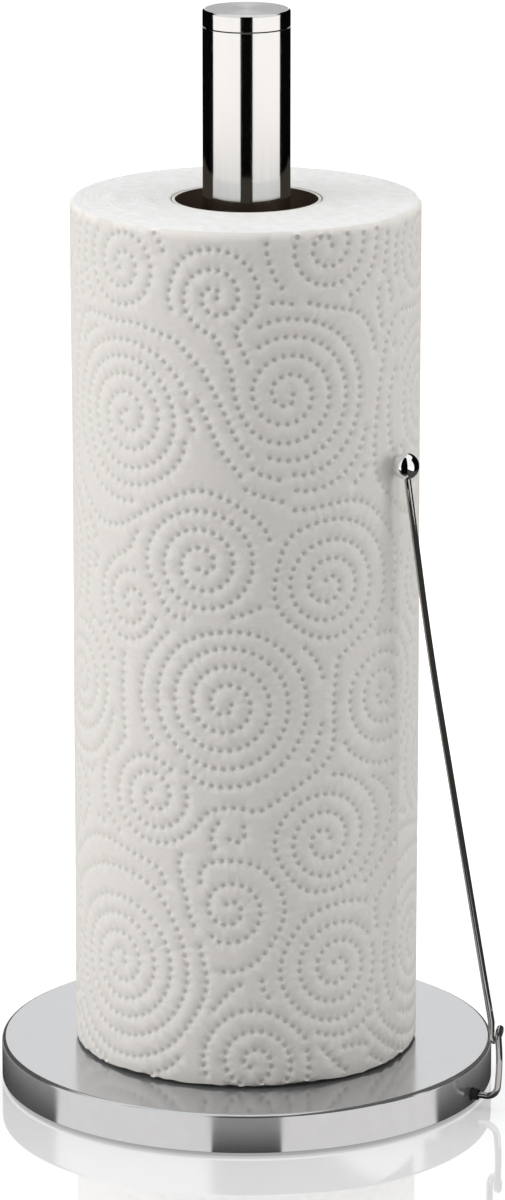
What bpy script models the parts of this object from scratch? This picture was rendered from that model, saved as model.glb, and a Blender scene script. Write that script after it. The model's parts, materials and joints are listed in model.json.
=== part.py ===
"""Free-standing paper towel holder: a weighted round base, a pole with a cap, a sprung wire arm
with a ball that presses on the roll, and the roll itself on its cardboard core.

Run with: blender --background --python part.py
Metres, +Z up. The origin lies on the table, on the pole's axis. The arm stands at the +X side,
a little towards -Y.
"""
import math

import bmesh
import bpy
from mathutils import Matrix, Vector

# ---- driving dimensions (metres) -------------------------------------------------------------
GAP = 0.0003                    # clearance between two pieces that touch
SMOOTH_ANGLE = math.radians(30)
ANGLE_TOLERANCE = 1e-4
MERGE_DISTANCE = 1e-7

# base
BASE_DIAMETER = 0.150
BASE_HEIGHT = 0.013             # table to the cover's top
COVER_WALL = 0.001
COVER_EDGE_RADIUS = 0.0012      # rounded top edge
COVER_LIFT = 0.001              # the cover's lower edge above the table
PAD_THICKNESS = 0.0012
PAD_INSET = 0.002               # from the plate's rim to the pad's
PLATE_THICKNESS = 0.0016
PLATE_INSET = 0.004             # from the cover's inner wall to the plate's rim
PLATE_ACCESS_MARGIN = 0.003     # the plate's middle hole, round the washers' pocket
PLATE_SCREW_INSET = 0.015       # from the plate's rim to its screws
PLATE_SCREW_COUNT = 3
PLATE_SCREW_SHANK = 0.0028      # diameters
PLATE_SCREW_HEAD = 0.0050
PLATE_SCREW_HEAD_HEIGHT = 0.0008
PLATE_SCREW_LENGTH = 0.0055

# pole
POLE_TOP = 0.330                # table to the top of the cap
POLE_DIAMETER = 0.026
POLE_WALL = 0.001
CAP_HEIGHT = 0.005
CAP_BEVEL = 0.0008
CAP_STUD_DIAMETER = 0.006
CAP_STUD_LENGTH = 0.012
INSERT_LENGTH = 0.018
PLUG_LENGTH = 0.020
PLUG_END_WALL = 0.0015          # metal left above the plug's bore
BOLT_DIAMETER = 0.006
BOLT_HEAD_DIAMETER = 0.010
BOLT_HEAD_HEIGHT = 0.0036
BOLT_HEAD_INSET = 0.0008        # the head's face above the plate's underside
BOLT_SOCKET_WIDTH = 0.004       # hexagon socket, across its corners
BOLT_SOCKET_DEPTH = 0.0018
WASHER_WIDTH = 0.0032           # from its hole to its rim
WASHER_THICKNESS = 0.001
SPRING_WASHER_WIDTH = 0.002
SPRING_WASHER_THICKNESS = 0.0013
SPRING_WASHER_SPLIT = math.radians(14)
WASHER_POCKET_MARGIN = 0.0015   # room round the washer in the weight's pocket

# roll
ROLL_DIAMETER = 0.105
ROLL_LENGTH = 0.260
CORE_BORE = 0.0425
CORE_WALL = 0.001

# arm
WIRE_DIAMETER = 0.002
WIRE_HOLE_CLEARANCE = 0.0003    # radial clearance where the wire passes through something
ARM_ANGLE = math.radians(-24.9)     # direction of the wire's foot, from +X
BALL_ANGLE = math.radians(-34.5)    # direction in which the ball meets the roll
BALL_DIAMETER = 0.008
BALL_HEIGHT = 0.1995            # table to the ball's centre
BALL_BORE_DEPTH = 0.0045
ARM_REACH = 0.0073              # arm strand outside the base's side
COIL_BORE = 0.0020              # diameter of the hole through the coil
COIL_RISE = 0.0106              # the coil's centre above the base's top
ARM_STUB = 0.0044               # wire that stands above the coil's centre before the arm begins
ARM_JOINT_GAP = 0.0006          # clearance that lets the arm's foot tilt
KNEE_DROP = 0.0555              # below the ball; the arm leans a little less above this knee
KNEE_OFFSET = 0.0013            # how far the knee lies inside the straight line
KNEE_LENGTH = 0.040             # the stretch over which the wire bends there
GROMMET_WALL = 0.0004
GROMMET_COLLAR_WIDTH = 0.0008
GROMMET_COLLAR_LENGTH = 0.0012
GROMMET_NOSE = 0.0022           # how far it stands out of the cover round the wire
ANCHOR_POCKET_MARGIN = 0.001    # room beside the block in the weight's pocket
ANCHOR_POCKET_ROOM = 0.003      # room behind the wire's hook
ANCHOR_BLOCK_WIDTH = 0.016
ANCHOR_WALL_BELOW = 0.0014      # steel under the wire's bore
ANCHOR_WALL_ABOVE = 0.0008
ANCHOR_BLOCK_LENGTH = 0.008
ANCHOR_BLOCK_INSET = 0.008      # from the cover's wall to the block
ANCHOR_SCREW_SPACING = 0.0104
ANCHOR_SCREW_SHANK = 0.0025
ANCHOR_SCREW_HEAD = 0.0044
ANCHOR_SCREW_HEAD_HEIGHT = 0.0012
ANCHOR_SCREW_ROOF = 0.0009      # iron left above the screws' tips
HOOK_LENGTH = 0.005             # sideways hook at the end of the tail
HOOK_BEND = 0.002               # bend radius of the hook
HOOK_INSET = 0.002              # from the block to the start of that bend
CURL_RADIUS = 0.0038            # bend from the tail up into the leg
LEG_BOW = 0.0004                # how far the leg bows outwards
WIRE_STEPS = 8                  # points along each bend of the wire
COIL_STEPS = 24

# ---- heights and radii that follow from them -------------------------------------------------
BASE_RADIUS = BASE_DIAMETER / 2
COVER_BORE = BASE_RADIUS - COVER_WALL
PLATE_BOTTOM = PAD_THICKNESS + GAP
PLATE_TOP = PLATE_BOTTOM + PLATE_THICKNESS
PLATE_RADIUS = COVER_BORE - PLATE_INSET
PAD_RADIUS = PLATE_RADIUS - PAD_INSET
WEIGHT_BOTTOM = PLATE_TOP + GAP
WEIGHT_TOP = BASE_HEIGHT - COVER_WALL - GAP
WEIGHT_RADIUS = COVER_BORE - GAP
POLE_FOOT = BASE_HEIGHT + GAP
POLE_RADIUS = POLE_DIAMETER / 2
TUBE_TOP = POLE_TOP - CAP_HEIGHT - GAP
TUBE_BORE_RADIUS = POLE_RADIUS - POLE_WALL
BOLT_HOLE_RADIUS = BOLT_DIAMETER / 2 + GAP
BOLT_HEAD_BOTTOM = PLATE_BOTTOM + BOLT_HEAD_INSET
BOLT_HEAD_TOP = BOLT_HEAD_BOTTOM + BOLT_HEAD_HEIGHT
BOLT_TIP = POLE_FOOT + PLUG_LENGTH - PLUG_END_WALL - GAP
SPRING_WASHER_BOTTOM = BOLT_HEAD_TOP + GAP
SPRING_WASHER_TOP = SPRING_WASHER_BOTTOM + SPRING_WASHER_THICKNESS
WASHER_BOTTOM = SPRING_WASHER_TOP + GAP
WASHER_TOP = WASHER_BOTTOM + WASHER_THICKNESS
WASHER_RADIUS = BOLT_HOLE_RADIUS + WASHER_WIDTH
WASHER_POCKET_TOP = WASHER_TOP + GAP
WASHER_POCKET_RADIUS = WASHER_RADIUS + WASHER_POCKET_MARGIN
PLATE_ACCESS_RADIUS = WASHER_POCKET_RADIUS + PLATE_ACCESS_MARGIN
ROLL_RADIUS = ROLL_DIAMETER / 2
CORE_RADIUS = CORE_BORE / 2 + CORE_WALL
ROLL_FOOT = BASE_HEIGHT + GAP
WIRE_RADIUS = WIRE_DIAMETER / 2
WIRE_HOLE_RADIUS = WIRE_RADIUS + WIRE_HOLE_CLEARANCE
GROMMET_RADIUS = WIRE_HOLE_RADIUS + GROMMET_WALL
BALL_RADIUS = BALL_DIAMETER / 2
COIL_RADIUS = (COIL_BORE + WIRE_DIAMETER) / 2
COIL_PITCH = WIRE_DIAMETER + GAP
COIL_HEIGHT = BASE_HEIGHT + COIL_RISE
STUB_TOP = COIL_HEIGHT + ARM_STUB
TAIL_HEIGHT = WEIGHT_BOTTOM + WIRE_RADIUS
BLOCK_BOTTOM = WEIGHT_BOTTOM
TAIL_INNER_HEIGHT = BLOCK_BOTTOM + ANCHOR_WALL_BELOW + WIRE_HOLE_RADIUS
BLOCK_TOP = TAIL_INNER_HEIGHT + WIRE_HOLE_RADIUS + ANCHOR_WALL_ABOVE
POCKET_TOP = BLOCK_TOP + GAP
ANCHOR_SCREW_TIP = WEIGHT_TOP - ANCHOR_SCREW_ROOF
BLOCK_RADIUS_OUT = COVER_BORE - ANCHOR_BLOCK_INSET
BLOCK_RADIUS_MID = BLOCK_RADIUS_OUT - ANCHOR_BLOCK_LENGTH / 2
BLOCK_RADIUS_IN = BLOCK_RADIUS_OUT - ANCHOR_BLOCK_LENGTH


# ---- materials -------------------------------------------------------------------------------
def finish(name, colour, roughness, metallic):
    material = bpy.data.materials.new(name)
    material.use_nodes = True
    shader = material.node_tree.nodes["Principled BSDF"]
    shader.inputs["Base Color"].default_value = (*colour, 1.0)
    shader.inputs["Roughness"].default_value = roughness
    shader.inputs["Metallic"].default_value = metallic
    return material


# ---- modelling helpers -----------------------------------------------------------------------
def add_object(name, mesh, material):
    piece = bpy.data.objects.new(name, mesh)
    bpy.context.scene.collection.objects.link(piece)
    if material is not None:
        mesh.materials.append(material)
    return piece


def smooth(mesh):
    mesh.shade_smooth()
    mesh.set_sharp_from_angle(angle=SMOOTH_ANGLE)


def turned(name, outline, material, segments=64, sweep=math.tau):
    """A lathe-turned piece. The outline is (radius, height) points: a closed ring section, or an
    open one that starts and ends on the axis."""
    shape = bmesh.new()
    points = [shape.verts.new((radius, 0.0, height)) for radius, height in outline]
    edges = [shape.edges.new(pair) for pair in zip(points, points[1:])]
    on_axis = outline[0][0] == 0.0 and outline[-1][0] == 0.0
    if not on_axis:
        edges.append(shape.edges.new((points[-1], points[0])))
    if sweep < math.tau:
        edges += shape.faces.new(points).edges[:]
    bmesh.ops.spin(
        shape, geom=points + list(set(edges)), cent=(0, 0, 0), axis=(0, 0, 1),
        angle=sweep, steps=segments,
    )
    if sweep < math.tau:
        end_angle = sweep - math.tau
        last = [v for v in shape.verts if abs(math.atan2(v.co.y, v.co.x) - end_angle) < ANGLE_TOLERANCE]
        bmesh.ops.contextual_create(shape, geom=last)
    bmesh.ops.remove_doubles(shape, verts=shape.verts, dist=MERGE_DISTANCE)
    bmesh.ops.recalc_face_normals(shape, faces=shape.faces)
    mesh = bpy.data.meshes.new(name)
    shape.to_mesh(mesh)
    shape.free()
    smooth(mesh)
    return add_object(name, mesh, material)


def block(name, size, centre, material=None):
    """A box of the given size, centred on a point of its own local axes."""
    shape = bmesh.new()
    bmesh.ops.create_cube(shape, size=1.0)
    bmesh.ops.scale(shape, verts=shape.verts, vec=size)
    bmesh.ops.translate(shape, verts=shape.verts, vec=centre)
    mesh = bpy.data.meshes.new(name)
    shape.to_mesh(mesh)
    shape.free()
    return add_object(name, mesh, material)


def rod(name, radius, start, end, segments=32):
    """A round bar between two points, used as a cutter."""
    start = Vector(start)
    end = Vector(end)
    along = end - start
    turn = along.to_track_quat("Z", "Y").to_matrix().to_4x4()
    place = Matrix.Translation((start + end) / 2) @ turn
    shape = bmesh.new()
    bmesh.ops.create_cone(
        shape, cap_ends=True, segments=segments, radius1=radius, radius2=radius,
        depth=along.length, matrix=place,
    )
    mesh = bpy.data.meshes.new(name)
    shape.to_mesh(mesh)
    shape.free()
    return add_object(name, mesh, None)


def cut(piece, cutter):
    cutter.hide_render = True
    cutter.display_type = "WIRE"
    modifier = piece.modifiers.new("cut_" + cutter.name, "BOOLEAN")
    modifier.operation = "DIFFERENCE"
    modifier.solver = "EXACT"
    modifier.object = cutter


def wire(name, points, material):
    """A round wire along a list of points, with closed ends."""
    curve = bpy.data.curves.new(name, "CURVE")
    curve.dimensions = "3D"
    curve.bevel_depth = WIRE_RADIUS
    curve.bevel_resolution = 2
    curve.use_fill_caps = True
    spline = curve.splines.new("POLY")
    spline.points.add(len(points) - 1)
    for place, point in zip(spline.points, points):
        place.co = (*point, 1.0)
    spline.use_smooth = True
    curve.materials.append(material)
    piece = bpy.data.objects.new(name, curve)
    bpy.context.scene.collection.objects.link(piece)
    return piece


def rounded_corner(outer_radius, top, rounding, steps=4):
    """Outline points round an outer top edge, from its side to its top, as (radius, height)."""
    points = []
    for step in range(steps + 1):
        angle = math.radians(90) * step / steps
        points.append((
            outer_radius - rounding * (1 - math.cos(angle)),
            top - rounding * (1 - math.sin(angle)),
        ))
    return points


def at_arm(radial, sideways, height):
    """A point given by its distance from the pole towards the arm's foot, its sideways offset
    (counter-clockwise from above) and its height."""
    return Matrix.Rotation(ARM_ANGLE, 3, "Z") @ Vector((radial, sideways, height))


def turn_to_arm(piece):
    piece.rotation_euler.z = ARM_ANGLE


# ---- base ------------------------------------------------------------------------------------
def plate_screw_places():
    """Evenly spaced, and clear of the arm's pocket."""
    reach = PLATE_RADIUS - PLATE_SCREW_INSET
    places = []
    for index in range(PLATE_SCREW_COUNT):
        angle = ARM_ANGLE + math.tau * (index + 0.5) / PLATE_SCREW_COUNT
        places.append(Vector((reach * math.cos(angle), reach * math.sin(angle), 0)))
    return places


def anchor_screw_places():
    half = ANCHOR_SCREW_SPACING / 2
    return [at_arm(BLOCK_RADIUS_MID, side, 0) for side in (-half, half)]


def screw(name, place, shank, head, head_height, bottom, top, material):
    """A screw that points up, with its head at the bottom."""
    piece = turned(name, [
        (0.0, bottom),
        (head / 2, bottom),
        (head / 2, bottom + head_height),
        (shank / 2, bottom + head_height),
        (shank / 2, top),
        (0.0, top),
    ], material, segments=20)
    piece.location = (place.x, place.y, 0)
    return piece


def make_pad(material):
    turned("non_slip_pad", [
        (0.0, 0.0),
        (PAD_RADIUS, 0.0),
        (PAD_RADIUS, PAD_THICKNESS),
        (0.0, PAD_THICKNESS),
    ], material, segments=72)


def make_under_plate(material):
    plate = turned("under_plate", [
        (PLATE_ACCESS_RADIUS, PLATE_BOTTOM),
        (PLATE_RADIUS, PLATE_BOTTOM),
        (PLATE_RADIUS, PLATE_TOP),
        (PLATE_ACCESS_RADIUS, PLATE_TOP),
    ], material, segments=72)
    recess_top = PLATE_BOTTOM + PLATE_SCREW_HEAD_HEIGHT + GAP
    for index, place in enumerate(plate_screw_places()):
        up = Vector((0, 0, 1))
        recess = rod(
            f"cutter_plate_recess_{index + 1}", PLATE_SCREW_HEAD / 2 + GAP,
            place + up * (PLATE_BOTTOM - GAP), place + up * recess_top, segments=20,
        )
        cut(plate, recess)
        hole = rod(
            f"cutter_plate_hole_{index + 1}", PLATE_SCREW_SHANK / 2 + GAP,
            place, place + up * (PLATE_TOP + GAP), segments=20,
        )
        cut(plate, hole)


def make_plate_screws(material):
    for index, place in enumerate(plate_screw_places()):
        screw(
            f"plate_screw_{index + 1}", place, PLATE_SCREW_SHANK, PLATE_SCREW_HEAD,
            PLATE_SCREW_HEAD_HEIGHT, PLATE_BOTTOM, PLATE_BOTTOM + PLATE_SCREW_LENGTH, material,
        )


def make_weight(material):
    weight = turned("base_weight", [
        (WASHER_POCKET_RADIUS, WEIGHT_BOTTOM),
        (WEIGHT_RADIUS, WEIGHT_BOTTOM),
        (WEIGHT_RADIUS, WEIGHT_TOP),
        (BOLT_HOLE_RADIUS, WEIGHT_TOP),
        (BOLT_HOLE_RADIUS, WASHER_POCKET_TOP),
        (WASHER_POCKET_RADIUS, WASHER_POCKET_TOP),
    ], material, segments=72)
    up = Vector((0, 0, 1))
    for index, place in enumerate(plate_screw_places()):
        hole = rod(
            f"cutter_weight_hole_{index + 1}", PLATE_SCREW_SHANK / 2 + GAP,
            place + up * PLATE_BOTTOM, place + up * (PLATE_BOTTOM + PLATE_SCREW_LENGTH + GAP), segments=20,
        )
        cut(weight, hole)
    pocket_low = WEIGHT_BOTTOM - GAP
    pocket_inner = BLOCK_RADIUS_IN - HOOK_INSET - HOOK_BEND - WIRE_RADIUS - ANCHOR_POCKET_ROOM
    pocket_outer = COVER_BORE + GAP
    pocket_width = ANCHOR_BLOCK_WIDTH + ANCHOR_POCKET_MARGIN * 2
    pocket = block(
        "cutter_anchor_pocket",
        (pocket_outer - pocket_inner, pocket_width, POCKET_TOP - pocket_low),
        ((pocket_outer + pocket_inner) / 2, 0, (POCKET_TOP + pocket_low) / 2),
    )
    turn_to_arm(pocket)
    cut(weight, pocket)
    for index, place in enumerate(anchor_screw_places()):
        hole = rod(
            f"cutter_anchor_thread_{index + 1}", ANCHOR_SCREW_SHANK / 2 + GAP,
            place + up * BLOCK_TOP, place + up * (ANCHOR_SCREW_TIP + GAP), segments=20,
        )
        cut(weight, hole)


def make_cover(material):
    inner_top = BASE_HEIGHT - COVER_WALL
    inner_edge = max(COVER_EDGE_RADIUS - COVER_WALL, 0.0)
    cover = turned("base_cover", [
        (COVER_BORE, COVER_LIFT),
        (BASE_RADIUS, COVER_LIFT),
        *rounded_corner(BASE_RADIUS, BASE_HEIGHT, COVER_EDGE_RADIUS),
        (BOLT_HOLE_RADIUS, BASE_HEIGHT),
        (BOLT_HOLE_RADIUS, inner_top),
        (COVER_BORE - inner_edge, inner_top),
        (COVER_BORE, inner_top - inner_edge),
    ], material, segments=96)
    hole = rod(
        "cutter_wire_hole", GROMMET_RADIUS + GAP,
        at_arm(COVER_BORE - COVER_WALL, 0, TAIL_HEIGHT), at_arm(BASE_RADIUS + COVER_WALL, 0, TAIL_HEIGHT),
        segments=24,
    )
    cut(cover, hole)


# ---- pole ------------------------------------------------------------------------------------
def make_pole_bolt(material):
    radius = BOLT_DIAMETER / 2
    bolt = turned("pole_bolt", [
        (0.0, BOLT_HEAD_BOTTOM),
        (BOLT_HEAD_DIAMETER / 2, BOLT_HEAD_BOTTOM),
        (BOLT_HEAD_DIAMETER / 2, BOLT_HEAD_TOP),
        (radius, BOLT_HEAD_TOP),
        (radius, BOLT_TIP),
        (0.0, BOLT_TIP),
    ], material, segments=32)
    socket = rod(
        "cutter_bolt_socket", BOLT_SOCKET_WIDTH / 2,
        (0, 0, BOLT_HEAD_BOTTOM - GAP), (0, 0, BOLT_HEAD_BOTTOM + BOLT_SOCKET_DEPTH), segments=6,
    )
    cut(bolt, socket)


def make_washers(material):
    turned("pole_washer", [
        (BOLT_HOLE_RADIUS, WASHER_BOTTOM),
        (WASHER_RADIUS, WASHER_BOTTOM),
        (WASHER_RADIUS, WASHER_TOP),
        (BOLT_HOLE_RADIUS, WASHER_TOP),
    ], material, segments=40)
    rim = BOLT_HOLE_RADIUS + SPRING_WASHER_WIDTH
    turned("pole_spring_washer", [
        (BOLT_HOLE_RADIUS, SPRING_WASHER_BOTTOM),
        (rim, SPRING_WASHER_BOTTOM),
        (rim, SPRING_WASHER_TOP),
        (BOLT_HOLE_RADIUS, SPRING_WASHER_TOP),
    ], material, segments=36, sweep=math.tau - SPRING_WASHER_SPLIT)


def make_foot_plug(material):
    radius = TUBE_BORE_RADIUS - GAP
    bore_top = BOLT_TIP + GAP
    turned("pole_foot_plug", [
        (0.0, bore_top),
        (BOLT_HOLE_RADIUS, bore_top),
        (BOLT_HOLE_RADIUS, POLE_FOOT),
        (radius, POLE_FOOT),
        (radius, POLE_FOOT + PLUG_LENGTH),
        (0.0, POLE_FOOT + PLUG_LENGTH),
    ], material, segments=48)


def make_pole_tube(material):
    turned("pole_tube", [
        (TUBE_BORE_RADIUS, POLE_FOOT),
        (POLE_RADIUS, POLE_FOOT),
        (POLE_RADIUS, TUBE_TOP),
        (TUBE_BORE_RADIUS, TUBE_TOP),
    ], material, segments=64)


def make_cap_insert(material):
    radius = TUBE_BORE_RADIUS - GAP
    bore = CAP_STUD_DIAMETER / 2 + GAP
    bore_bottom = TUBE_TOP - CAP_STUD_LENGTH
    turned("cap_insert", [
        (0.0, TUBE_TOP - INSERT_LENGTH),
        (radius, TUBE_TOP - INSERT_LENGTH),
        (radius, TUBE_TOP),
        (bore, TUBE_TOP),
        (bore, bore_bottom),
        (0.0, bore_bottom),
    ], material, segments=48)


def make_cap(material):
    cap_bottom = POLE_TOP - CAP_HEIGHT
    stud = CAP_STUD_DIAMETER / 2
    turned("pole_cap", [
        (0.0, cap_bottom - CAP_STUD_LENGTH),
        (stud, cap_bottom - CAP_STUD_LENGTH),
        (stud, cap_bottom),
        (POLE_RADIUS, cap_bottom),
        *rounded_corner(POLE_RADIUS, POLE_TOP, CAP_BEVEL),
        (0.0, POLE_TOP),
    ], material, segments=64)


# ---- arm -------------------------------------------------------------------------------------
def arm_start():
    """Where the moving arm begins, just above the coil's stub."""
    return at_arm(BASE_RADIUS + ARM_REACH - COIL_PITCH / 2, 0, STUB_TOP)


def ball_centre():
    reach = ROLL_RADIUS + GAP + BALL_RADIUS
    return Vector((reach * math.cos(BALL_ANGLE), reach * math.sin(BALL_ANGLE), BALL_HEIGHT))


def hook_path():
    """From the hook's tip, round its bend, and along to the anchor block."""
    bend_radial = BLOCK_RADIUS_IN - HOOK_INSET
    path = [at_arm(bend_radial - HOOK_BEND, HOOK_LENGTH, TAIL_INNER_HEIGHT)]
    for step in range(WIRE_STEPS + 1):
        angle = math.radians(90) * (1 - step / WIRE_STEPS)
        path.append(at_arm(
            bend_radial - HOOK_BEND * math.sin(angle),
            HOOK_BEND * (1 - math.cos(angle)),
            TAIL_INNER_HEIGHT,
        ))
    return path


def tail_path():
    """From the anchor block down to the height of the side hole."""
    start = BLOCK_RADIUS_OUT + GAP
    end = COVER_BORE - GROMMET_COLLAR_LENGTH - GAP
    drop = TAIL_INNER_HEIGHT - TAIL_HEIGHT
    path = []
    for step in range(WIRE_STEPS + 1):
        along = step / WIRE_STEPS
        ease = (1 - math.cos(math.pi * along)) / 2
        path.append(at_arm(start + (end - start) * along, 0, TAIL_INNER_HEIGHT - drop * ease))
    return path


def leg_path(leg):
    """Out of the side hole, up round the curl, and up the leg to the coil."""
    path = []
    for step in range(WIRE_STEPS + 1):
        angle = math.radians(90) * step / WIRE_STEPS
        path.append(at_arm(
            leg - CURL_RADIUS * (1 - math.sin(angle)),
            0,
            TAIL_HEIGHT + CURL_RADIUS * (1 - math.cos(angle)),
        ))
    foot = TAIL_HEIGHT + CURL_RADIUS
    for step in range(1, WIRE_STEPS + 1):
        along = step / WIRE_STEPS
        bow = LEG_BOW * math.sin(math.pi * along)
        path.append(at_arm(leg + bow, 0, foot + (COIL_HEIGHT - foot) * along))
    return path


def coil_path(leg):
    """One turn on an axis that points at the pole, moving in by one pitch."""
    path = []
    for step in range(1, COIL_STEPS + 1):
        angle = math.tau * step / COIL_STEPS
        inward = COIL_PITCH * (1 - math.cos(angle / 2)) / 2
        path.append(at_arm(
            leg - inward,
            COIL_RADIUS * (1 - math.cos(angle)),
            COIL_HEIGHT + COIL_RADIUS * math.sin(angle),
        ))
    return path


def make_arm_foot(material):
    """Tail in the base, curl up outside it, one turn of coil, and a short stub."""
    leg = BASE_RADIUS + ARM_REACH + COIL_PITCH / 2
    path = hook_path() + tail_path() + leg_path(leg) + coil_path(leg) + [arm_start()]
    wire("arm_foot", path, material)


def arm_knee():
    start = arm_start()
    ball = ball_centre()
    straight = ball.lerp(start, KNEE_DROP / (ball.z - start.z))
    inward = ball - start
    inward.z = 0
    return straight + inward.normalized() * KNEE_OFFSET


def arm_end_direction():
    return (ball_centre() - arm_knee()).normalized()


def make_arm_rod(pivot, material):
    """The leaning wire, from just above the stub to inside the ball."""
    knee = arm_knee()
    low = arm_start() + Vector((0, 0, ARM_JOINT_GAP))
    end = ball_centre() - arm_end_direction() * WIRE_HOLE_CLEARANCE
    bend_start = knee + (low - knee).normalized() * KNEE_LENGTH / 2
    bend_end = knee + (end - knee).normalized() * KNEE_LENGTH / 2
    bend = []
    for step in range(WIRE_STEPS + 1):
        along = step / WIRE_STEPS
        bend.append(bend_start.lerp(knee, along).lerp(knee.lerp(bend_end, along), along))
    path = [low, low.lerp(bend_start, 0.5)] + bend + [end]
    return wire("arm_rod", [point - pivot for point in path], material)


def make_arm_ball(pivot, material):
    centre = ball_centre() - pivot
    along = arm_end_direction()
    shape = bmesh.new()
    bmesh.ops.create_uvsphere(
        shape, u_segments=24, v_segments=16, radius=BALL_RADIUS, matrix=Matrix.Translation(centre),
    )
    mesh = bpy.data.meshes.new("arm_ball")
    shape.to_mesh(mesh)
    shape.free()
    smooth(mesh)
    ball = add_object("arm_ball", mesh, material)
    bore = rod(
        "cutter_ball_bore", WIRE_HOLE_RADIUS, centre - along * BALL_RADIUS * 2,
        centre - along * (BALL_RADIUS - BALL_BORE_DEPTH), segments=16,
    )
    cut(ball, bore)
    return ball, bore


def make_arm(material):
    """The moving arm: its parent empty sits on the swing axis, at the top of the coil's stub. The
    axis lies level, across the arm's lean, so that a turn carries the ball away from the roll."""
    pivot = arm_start()
    hinge = bpy.data.objects.new("arm_swing_axis", None)
    bpy.context.scene.collection.objects.link(hinge)
    hinge.location = pivot
    leaning_wire = make_arm_rod(pivot, material)
    ball, bore = make_arm_ball(pivot, material)
    for child in (leaning_wire, ball, bore):
        child.parent = hinge


def make_grommet(material):
    """A bush in the side hole, with a collar inside the cover and a short nose outside it."""
    inner = COVER_BORE - GAP
    collar_radius = GROMMET_RADIUS + GROMMET_COLLAR_WIDTH
    grommet = turned("arm_grommet", [
        (WIRE_HOLE_RADIUS, inner - GROMMET_COLLAR_LENGTH),
        (collar_radius, inner - GROMMET_COLLAR_LENGTH),
        (collar_radius, inner),
        (GROMMET_RADIUS, inner),
        (GROMMET_RADIUS, BASE_RADIUS + GROMMET_NOSE),
        (WIRE_HOLE_RADIUS, BASE_RADIUS + GROMMET_NOSE),
    ], material, segments=24)
    grommet.rotation_euler = (0, math.pi / 2, ARM_ANGLE)
    grommet.location = (0, 0, TAIL_HEIGHT)


def make_anchor_block(material):
    anchor = block(
        "arm_anchor_block",
        (ANCHOR_BLOCK_LENGTH, ANCHOR_BLOCK_WIDTH, BLOCK_TOP - BLOCK_BOTTOM),
        (BLOCK_RADIUS_MID, 0, (BLOCK_TOP + BLOCK_BOTTOM) / 2), material,
    )
    turn_to_arm(anchor)
    bore = rod(
        "cutter_anchor_bore", WIRE_HOLE_RADIUS,
        at_arm(BLOCK_RADIUS_IN - COVER_WALL, 0, TAIL_INNER_HEIGHT),
        at_arm(BLOCK_RADIUS_OUT + COVER_WALL, 0, TAIL_INNER_HEIGHT), segments=16,
    )
    cut(anchor, bore)
    up = Vector((0, 0, 1))
    recess_top = BLOCK_BOTTOM + ANCHOR_SCREW_HEAD_HEIGHT + GAP
    for index, place in enumerate(anchor_screw_places()):
        recess = rod(
            f"cutter_anchor_recess_{index + 1}", ANCHOR_SCREW_HEAD / 2 + GAP,
            place + up * (BLOCK_BOTTOM - GAP), place + up * recess_top, segments=20,
        )
        cut(anchor, recess)
        hole = rod(
            f"cutter_anchor_hole_{index + 1}", ANCHOR_SCREW_SHANK / 2 + GAP,
            place, place + up * (BLOCK_TOP + GAP), segments=20,
        )
        cut(anchor, hole)


def make_anchor_screws(material):
    for index, place in enumerate(anchor_screw_places()):
        screw(
            f"anchor_screw_{index + 1}", place, ANCHOR_SCREW_SHANK, ANCHOR_SCREW_HEAD,
            ANCHOR_SCREW_HEAD_HEIGHT, BLOCK_BOTTOM, ANCHOR_SCREW_TIP, material,
        )


# ---- roll ------------------------------------------------------------------------------------
def make_core(material):
    turned("cardboard_core", [
        (CORE_BORE / 2, ROLL_FOOT),
        (CORE_RADIUS, ROLL_FOOT),
        (CORE_RADIUS, ROLL_FOOT + ROLL_LENGTH),
        (CORE_BORE / 2, ROLL_FOOT + ROLL_LENGTH),
    ], material, segments=72)


def make_paper_roll(material):
    turned("paper_roll", [
        (CORE_RADIUS + GAP, ROLL_FOOT),
        (ROLL_RADIUS, ROLL_FOOT),
        (ROLL_RADIUS, ROLL_FOOT + ROLL_LENGTH),
        (CORE_RADIUS + GAP, ROLL_FOOT + ROLL_LENGTH),
    ], material, segments=96)


def build():
    for old in list(bpy.data.objects):
        bpy.data.objects.remove(old)
    brushed = finish("brushed_steel", (0.62, 0.62, 0.61), 0.32, 1.0)
    polished = finish("polished_steel", (0.72, 0.72, 0.71), 0.06, 1.0)
    iron = finish("cast_iron", (0.08, 0.08, 0.085), 0.75, 0.6)
    plated = finish("zinc_plated_steel", (0.55, 0.56, 0.57), 0.35, 1.0)
    plastic = finish("black_plastic", (0.02, 0.02, 0.02), 0.5, 0.0)
    rubber = finish("black_rubber", (0.015, 0.015, 0.015), 0.85, 0.0)
    card = finish("cardboard", (0.36, 0.24, 0.15), 0.9, 0.0)
    paper = finish("paper", (0.86, 0.86, 0.85), 0.95, 0.0)
    make_pad(rubber)
    make_under_plate(plastic)
    make_plate_screws(plated)
    make_weight(iron)
    make_cover(brushed)
    make_foot_plug(plated)
    make_pole_bolt(plated)
    make_washers(plated)
    make_pole_tube(polished)
    make_cap_insert(plastic)
    make_cap(polished)
    make_grommet(rubber)
    make_arm_foot(polished)
    make_anchor_block(plated)
    make_anchor_screws(plated)
    make_arm(polished)
    make_core(card)
    make_paper_roll(paper)


build()
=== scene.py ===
import json
import math
import bmesh
import bpy
from mathutils import Matrix, Vector
from mathutils.geometry import delaunay_2d_cdt

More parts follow.
